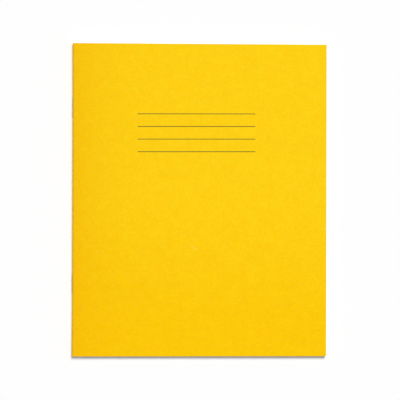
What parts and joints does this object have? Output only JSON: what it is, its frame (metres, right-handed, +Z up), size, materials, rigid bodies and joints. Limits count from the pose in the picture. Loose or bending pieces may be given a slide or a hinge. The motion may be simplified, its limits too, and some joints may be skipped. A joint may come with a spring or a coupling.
{
  "type": "stapled exercise book",
  "caption": "Closed exercise book: ruled paper sheets folded and stapled through the spine of a yellow card cover; the front cover opens and the leaves open flat at the centre.",
  "frame": {"origin": "middle of the book's footprint, on the surface that the back cover lies on", "axes": "+X from the spine to the fore-edge, +Y to the head of the book, +Z up through the front cover"},
  "size_m": [0.1654, 0.203, 0.0037],
  "materials": {
    "cover_card": "uncoated yellow manila card, matt, with fine fibre mottling and four thin black printed lines",
    "page_paper": "smooth white writing paper, ruled in light grey with a pink-red margin line",
    "staple_wire": "bright drawn steel wire"
  },
  "bodies": {
    "back_cover": {"back_cover": "cover_card"},
    "binding": {"cover_spine": "cover_card", "sheet_01_fold": "page_paper", "sheet_02_fold": "page_paper", "sheet_03_fold": "page_paper", "sheet_04_fold": "page_paper", "sheet_05_fold": "page_paper", "sheet_06_fold": "page_paper", "sheet_07_fold": "page_paper", "sheet_08_fold": "page_paper", "sheet_09_fold": "page_paper", "sheet_10_fold": "page_paper", "sheet_11_fold": "page_paper", "sheet_12_fold": "page_paper", "head_staple": "staple_wire", "tail_staple": "staple_wire"},
    "leaf_01": {"sheet_01_front_leaf": "page_paper"},
    "leaf_02": {"sheet_02_front_leaf": "page_paper"},
    "leaf_03": {"sheet_03_front_leaf": "page_paper"},
    "leaf_04": {"sheet_04_front_leaf": "page_paper"},
    "leaf_05": {"sheet_05_front_leaf": "page_paper"},
    "leaf_06": {"sheet_06_front_leaf": "page_paper"},
    "leaf_07": {"sheet_07_front_leaf": "page_paper"},
    "leaf_08": {"sheet_08_front_leaf": "page_paper"},
    "leaf_09": {"sheet_09_front_leaf": "page_paper"},
    "leaf_10": {"sheet_10_front_leaf": "page_paper"},
    "leaf_11": {"sheet_11_front_leaf": "page_paper"},
    "leaf_12": {"sheet_12_front_leaf": "page_paper"},
    "leaf_13": {"sheet_12_back_leaf": "page_paper"},
    "leaf_14": {"sheet_11_back_leaf": "page_paper"},
    "leaf_15": {"sheet_10_back_leaf": "page_paper"},
    "leaf_16": {"sheet_09_back_leaf": "page_paper"},
    "leaf_17": {"sheet_08_back_leaf": "page_paper"},
    "leaf_18": {"sheet_07_back_leaf": "page_paper"},
    "leaf_19": {"sheet_06_back_leaf": "page_paper"},
    "leaf_20": {"sheet_05_back_leaf": "page_paper"},
    "leaf_21": {"sheet_04_back_leaf": "page_paper"},
    "leaf_22": {"sheet_03_back_leaf": "page_paper"},
    "leaf_23": {"sheet_02_back_leaf": "page_paper"},
    "leaf_24": {"sheet_01_back_leaf": "page_paper"},
    "front_cover": {"front_cover": "cover_card"}
  },
  "joints": [
    {"name": "centre_opening", "type": "hinge", "parent": "back_cover", "child": "leaf_01", "pos_m": [-0.08063, 0, 0.00187], "axis": [0, -1, 0], "range_deg": [0, 179.5]},
    {"name": "binding_turn", "type": "hinge", "parent": "back_cover", "child": "binding", "pos_m": [-0.08063, 0, 0.00187], "axis": [0, -1, 0], "range_deg": [0, 89.75], "deforming": ["cover_spine", "sheet_01_fold", "sheet_02_fold", "sheet_03_fold", "sheet_04_fold", "sheet_05_fold", "sheet_06_fold", "sheet_07_fold", "sheet_08_fold", "sheet_09_fold", "sheet_10_fold", "sheet_11_fold", "sheet_12_fold"]},
    {"name": "leaf_02_turn", "type": "hinge", "parent": "back_cover", "child": "leaf_02", "pos_m": [-0.08063, 0, 0.00187], "axis": [0, -1, 0], "range_deg": [0, 179.34]},
    {"name": "leaf_03_turn", "type": "hinge", "parent": "back_cover", "child": "leaf_03", "pos_m": [-0.08063, 0, 0.00187], "axis": [0, -1, 0], "range_deg": [0, 179.17]},
    {"name": "leaf_04_turn", "type": "hinge", "parent": "back_cover", "child": "leaf_04", "pos_m": [-0.08063, 0, 0.00187], "axis": [0, -1, 0], "range_deg": [0, 179.01]},
    {"name": "leaf_05_turn", "type": "hinge", "parent": "back_cover", "child": "leaf_05", "pos_m": [-0.08063, 0, 0.00187], "axis": [0, -1, 0], "range_deg": [0, 178.85]},
    {"name": "leaf_06_turn", "type": "hinge", "parent": "back_cover", "child": "leaf_06", "pos_m": [-0.08063, 0, 0.00187], "axis": [0, -1, 0], "range_deg": [0, 178.68]},
    {"name": "leaf_07_turn", "type": "hinge", "parent": "back_cover", "child": "leaf_07", "pos_m": [-0.08063, 0, 0.00187], "axis": [0, -1, 0], "range_deg": [0, 178.52]},
    {"name": "leaf_08_turn", "type": "hinge", "parent": "back_cover", "child": "leaf_08", "pos_m": [-0.08063, 0, 0.00187], "axis": [0, -1, 0], "range_deg": [0, 178.36]},
    {"name": "leaf_09_turn", "type": "hinge", "parent": "back_cover", "child": "leaf_09", "pos_m": [-0.08063, 0, 0.00187], "axis": [0, -1, 0], "range_deg": [0, 178.19]},
    {"name": "leaf_10_turn", "type": "hinge", "parent": "back_cover", "child": "leaf_10", "pos_m": [-0.08063, 0, 0.00187], "axis": [0, -1, 0], "range_deg": [0, 178.03]},
    {"name": "leaf_11_turn", "type": "hinge", "parent": "back_cover", "child": "leaf_11", "pos_m": [-0.08063, 0, 0.00187], "axis": [0, -1, 0], "range_deg": [0, 177.87]},
    {"name": "leaf_12_turn", "type": "hinge", "parent": "back_cover", "child": "leaf_12", "pos_m": [-0.08063, 0, 0.00187], "axis": [0, -1, 0], "range_deg": [0, 177.71]},
    {"name": "leaf_13_turn", "type": "hinge", "parent": "back_cover", "child": "leaf_13", "pos_m": [-0.08063, 0, 0.00187], "axis": [0, -1, 0], "range_deg": [0, 1.79]},
    {"name": "leaf_14_turn", "type": "hinge", "parent": "back_cover", "child": "leaf_14", "pos_m": [-0.08063, 0, 0.00187], "axis": [0, -1, 0], "range_deg": [0, 1.67]},
    {"name": "leaf_15_turn", "type": "hinge", "parent": "back_cover", "child": "leaf_15", "pos_m": [-0.08063, 0, 0.00187], "axis": [0, -1, 0], "range_deg": [0, 1.55]},
    {"name": "leaf_16_turn", "type": "hinge", "parent": "back_cover", "child": "leaf_16", "pos_m": [-0.08063, 0, 0.00187], "axis": [0, -1, 0], "range_deg": [0, 1.43]},
    {"name": "leaf_17_turn", "type": "hinge", "parent": "back_cover", "child": "leaf_17", "pos_m": [-0.08063, 0, 0.00187], "axis": [0, -1, 0], "range_deg": [0, 1.31]},
    {"name": "leaf_18_turn", "type": "hinge", "parent": "back_cover", "child": "leaf_18", "pos_m": [-0.08063, 0, 0.00187], "axis": [0, -1, 0], "range_deg": [0, 1.18]},
    {"name": "leaf_19_turn", "type": "hinge", "parent": "back_cover", "child": "leaf_19", "pos_m": [-0.08063, 0, 0.00187], "axis": [0, -1, 0], "range_deg": [0, 1.06]},
    {"name": "leaf_20_turn", "type": "hinge", "parent": "back_cover", "child": "leaf_20", "pos_m": [-0.08063, 0, 0.00187], "axis": [0, -1, 0], "range_deg": [0, 0.93825]},
    {"name": "leaf_21_turn", "type": "hinge", "parent": "back_cover", "child": "leaf_21", "pos_m": [-0.08063, 0, 0.00187], "axis": [0, -1, 0], "range_deg": [0, 0.81583]},
    {"name": "leaf_22_turn", "type": "hinge", "parent": "back_cover", "child": "leaf_22", "pos_m": [-0.08063, 0, 0.00187], "axis": [0, -1, 0], "range_deg": [0, 0.69359]},
    {"name": "leaf_23_turn", "type": "hinge", "parent": "back_cover", "child": "leaf_23", "pos_m": [-0.08063, 0, 0.00187], "axis": [0, -1, 0], "range_deg": [0, 0.57117]},
    {"name": "leaf_24_turn", "type": "hinge", "parent": "back_cover", "child": "leaf_24", "pos_m": [-0.08063, 0, 0.00187], "axis": [0, -1, 0], "range_deg": [0, 0.44875]},
    {"name": "cover_opening", "type": "hinge", "parent": "leaf_01", "child": "front_cover", "pos_m": [-0.07913, 0, 0.00409], "axis": [0, -1, 0], "range_deg": [0, 179]}
  ],
  "couplings": [
    {"joint": "binding_turn", "follows": "centre_opening", "ratio": 0.5},
    {"joint": "leaf_02_turn", "follows": "centre_opening", "ratio": 0.99909},
    {"joint": "leaf_03_turn", "follows": "centre_opening", "ratio": 0.99818},
    {"joint": "leaf_04_turn", "follows": "centre_opening", "ratio": 0.99727},
    {"joint": "leaf_05_turn", "follows": "centre_opening", "ratio": 0.99636},
    {"joint": "leaf_06_turn", "follows": "centre_opening", "ratio": 0.99545},
    {"joint": "leaf_07_turn", "follows": "centre_opening", "ratio": 0.99455},
    {"joint": "leaf_08_turn", "follows": "centre_opening", "ratio": 0.99364},
    {"joint": "leaf_09_turn", "follows": "centre_opening", "ratio": 0.99273},
    {"joint": "leaf_10_turn", "follows": "centre_opening", "ratio": 0.99182},
    {"joint": "leaf_11_turn", "follows": "centre_opening", "ratio": 0.99091},
    {"joint": "leaf_12_turn", "follows": "centre_opening", "ratio": 0.99},
    {"joint": "leaf_13_turn", "follows": "centre_opening", "ratio": 0.01},
    {"joint": "leaf_14_turn", "follows": "centre_opening", "ratio": 0.009318},
    {"joint": "leaf_15_turn", "follows": "centre_opening", "ratio": 0.008636},
    {"joint": "leaf_16_turn", "follows": "centre_opening", "ratio": 0.007955},
    {"joint": "leaf_17_turn", "follows": "centre_opening", "ratio": 0.007273},
    {"joint": "leaf_18_turn", "follows": "centre_opening", "ratio": 0.006591},
    {"joint": "leaf_19_turn", "follows": "centre_opening", "ratio": 0.005909},
    {"joint": "leaf_20_turn", "follows": "centre_opening", "ratio": 0.005227},
    {"joint": "leaf_21_turn", "follows": "centre_opening", "ratio": 0.004545},
    {"joint": "leaf_22_turn", "follows": "centre_opening", "ratio": 0.003864},
    {"joint": "leaf_23_turn", "follows": "centre_opening", "ratio": 0.003182},
    {"joint": "leaf_24_turn", "follows": "centre_opening", "ratio": 0.0025}
  ]
}
